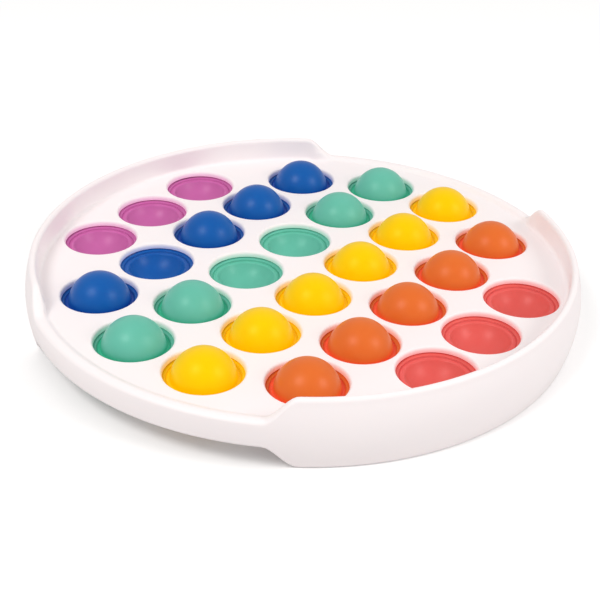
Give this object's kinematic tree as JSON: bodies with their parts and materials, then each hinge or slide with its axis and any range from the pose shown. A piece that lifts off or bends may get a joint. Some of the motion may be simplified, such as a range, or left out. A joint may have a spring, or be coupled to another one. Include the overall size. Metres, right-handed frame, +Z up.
{
  "type": "push bubble board game",
  "caption": "Round two-sided push-bubble game board: white tray with two raised grip lobes and six colour rows of silicone bubbles that snap through.",
  "frame": {"origin": "on the table, under the centre of the board", "axes": "+Z up, the short way through the board; the rows of bubbles run along Y and the colours go from purple at -X to red at +X; the two grip lobes are at -X and +X"},
  "size_m": [0.2, 0.2, 0.0255],
  "materials": {
    "white_plastic": "satin moulded",
    "purple_silicone": "satin silicone",
    "blue_silicone": "satin silicone",
    "teal_silicone": "satin silicone",
    "yellow_silicone": "satin silicone",
    "orange_silicone": "satin silicone",
    "red_silicone": "satin silicone"
  },
  "bodies": {
    "board": {"frame": "white_plastic", "back_plate": "white_plastic", "purple_strip": "purple_silicone", "blue_strip": "blue_silicone", "teal_strip": "teal_silicone", "yellow_strip": "yellow_silicone", "orange_strip": "orange_silicone", "red_strip": "red_silicone"},
    "purple_bubble_1": {"purple_bubble_1": "purple_silicone"},
    "purple_bubble_2": {"purple_bubble_2": "purple_silicone"},
    "purple_bubble_3": {"purple_bubble_3": "purple_silicone"},
    "blue_bubble_1": {"blue_bubble_1": "blue_silicone"},
    "blue_bubble_2": {"blue_bubble_2": "blue_silicone"},
    "blue_bubble_3": {"blue_bubble_3": "blue_silicone"},
    "blue_bubble_4": {"blue_bubble_4": "blue_silicone"},
    "blue_bubble_5": {"blue_bubble_5": "blue_silicone"},
    "teal_bubble_1": {"teal_bubble_1": "teal_silicone"},
    "teal_bubble_2": {"teal_bubble_2": "teal_silicone"},
    "teal_bubble_3": {"teal_bubble_3": "teal_silicone"},
    "teal_bubble_4": {"teal_bubble_4": "teal_silicone"},
    "teal_bubble_5": {"teal_bubble_5": "teal_silicone"},
    "teal_bubble_6": {"teal_bubble_6": "teal_silicone"},
    "yellow_bubble_1": {"yellow_bubble_1": "yellow_silicone"},
    "yellow_bubble_2": {"yellow_bubble_2": "yellow_silicone"},
    "yellow_bubble_3": {"yellow_bubble_3": "yellow_silicone"},
    "yellow_bubble_4": {"yellow_bubble_4": "yellow_silicone"},
    "yellow_bubble_5": {"yellow_bubble_5": "yellow_silicone"},
    "yellow_bubble_6": {"yellow_bubble_6": "yellow_silicone"},
    "orange_bubble_1": {"orange_bubble_1": "orange_silicone"},
    "orange_bubble_2": {"orange_bubble_2": "orange_silicone"},
    "orange_bubble_3": {"orange_bubble_3": "orange_silicone"},
    "orange_bubble_4": {"orange_bubble_4": "orange_silicone"},
    "orange_bubble_5": {"orange_bubble_5": "orange_silicone"},
    "red_bubble_1": {"red_bubble_1": "red_silicone"},
    "red_bubble_2": {"red_bubble_2": "red_silicone"},
    "red_bubble_3": {"red_bubble_3": "red_silicone"}
  },
  "joints": [
    {"name": "purple_bubble_1_push", "type": "slide", "parent": "board", "child": "purple_bubble_1", "axis": [0, 0, 1], "range_m": [0, 0.0169]},
    {"name": "purple_bubble_2_push", "type": "slide", "parent": "board", "child": "purple_bubble_2", "axis": [0, 0, 1], "range_m": [0, 0.0169]},
    {"name": "purple_bubble_3_push", "type": "slide", "parent": "board", "child": "purple_bubble_3", "axis": [0, 0, 1], "range_m": [0, 0.0169]},
    {"name": "blue_bubble_1_push", "type": "slide", "parent": "board", "child": "blue_bubble_1", "axis": [0, 0, 1], "range_m": [-0.0169, 0]},
    {"name": "blue_bubble_2_push", "type": "slide", "parent": "board", "child": "blue_bubble_2", "axis": [0, 0, 1], "range_m": [-0.0169, 0]},
    {"name": "blue_bubble_3_push", "type": "slide", "parent": "board", "child": "blue_bubble_3", "axis": [0, 0, 1], "range_m": [-0.0169, 0]},
    {"name": "blue_bubble_4_push", "type": "slide", "parent": "board", "child": "blue_bubble_4", "axis": [0, 0, 1], "range_m": [0, 0.0169]},
    {"name": "blue_bubble_5_push", "type": "slide", "parent": "board", "child": "blue_bubble_5", "axis": [0, 0, 1], "range_m": [-0.0169, 0]},
    {"name": "teal_bubble_1_push", "type": "slide", "parent": "board", "child": "teal_bubble_1", "axis": [0, 0, 1], "range_m": [-0.0169, 0]},
    {"name": "teal_bubble_2_push", "type": "slide", "parent": "board", "child": "teal_bubble_2", "axis": [0, 0, 1], "range_m": [-0.0169, 0]},
    {"name": "teal_bubble_3_push", "type": "slide", "parent": "board", "child": "teal_bubble_3", "axis": [0, 0, 1], "range_m": [0, 0.0169]},
    {"name": "teal_bubble_4_push", "type": "slide", "parent": "board", "child": "teal_bubble_4", "axis": [0, 0, 1], "range_m": [0, 0.0169]},
    {"name": "teal_bubble_5_push", "type": "slide", "parent": "board", "child": "teal_bubble_5", "axis": [0, 0, 1], "range_m": [-0.0169, 0]},
    {"name": "teal_bubble_6_push", "type": "slide", "parent": "board", "child": "teal_bubble_6", "axis": [0, 0, 1], "range_m": [-0.0169, 0]},
    {"name": "yellow_bubble_1_push", "type": "slide", "parent": "board", "child": "yellow_bubble_1", "axis": [0, 0, 1], "range_m": [-0.0169, 0]},
    {"name": "yellow_bubble_2_push", "type": "slide", "parent": "board", "child": "yellow_bubble_2", "axis": [0, 0, 1], "range_m": [-0.0169, 0]},
    {"name": "yellow_bubble_3_push", "type": "slide", "parent": "board", "child": "yellow_bubble_3", "axis": [0, 0, 1], "range_m": [-0.0169, 0]},
    {"name": "yellow_bubble_4_push", "type": "slide", "parent": "board", "child": "yellow_bubble_4", "axis": [0, 0, 1], "range_m": [-0.0169, 0]},
    {"name": "yellow_bubble_5_push", "type": "slide", "parent": "board", "child": "yellow_bubble_5", "axis": [0, 0, 1], "range_m": [-0.0169, 0]},
    {"name": "yellow_bubble_6_push", "type": "slide", "parent": "board", "child": "yellow_bubble_6", "axis": [0, 0, 1], "range_m": [-0.0169, 0]},
    {"name": "orange_bubble_1_push", "type": "slide", "parent": "board", "child": "orange_bubble_1", "axis": [0, 0, 1], "range_m": [-0.0169, 0]},
    {"name": "orange_bubble_2_push", "type": "slide", "parent": "board", "child": "orange_bubble_2", "axis": [0, 0, 1], "range_m": [-0.0169, 0]},
    {"name": "orange_bubble_3_push", "type": "slide", "parent": "board", "child": "orange_bubble_3", "axis": [0, 0, 1], "range_m": [-0.0169, 0]},
    {"name": "orange_bubble_4_push", "type": "slide", "parent": "board", "child": "orange_bubble_4", "axis": [0, 0, 1], "range_m": [-0.0169, 0]},
    {"name": "orange_bubble_5_push", "type": "slide", "parent": "board", "child": "orange_bubble_5", "axis": [0, 0, 1], "range_m": [-0.0169, 0]},
    {"name": "red_bubble_1_push", "type": "slide", "parent": "board", "child": "red_bubble_1", "axis": [0, 0, 1], "range_m": [0, 0.0169]},
    {"name": "red_bubble_2_push", "type": "slide", "parent": "board", "child": "red_bubble_2", "axis": [0, 0, 1], "range_m": [0, 0.0169]},
    {"name": "red_bubble_3_push", "type": "slide", "parent": "board", "child": "red_bubble_3", "axis": [0, 0, 1], "range_m": [0, 0.0169]}
  ]
}
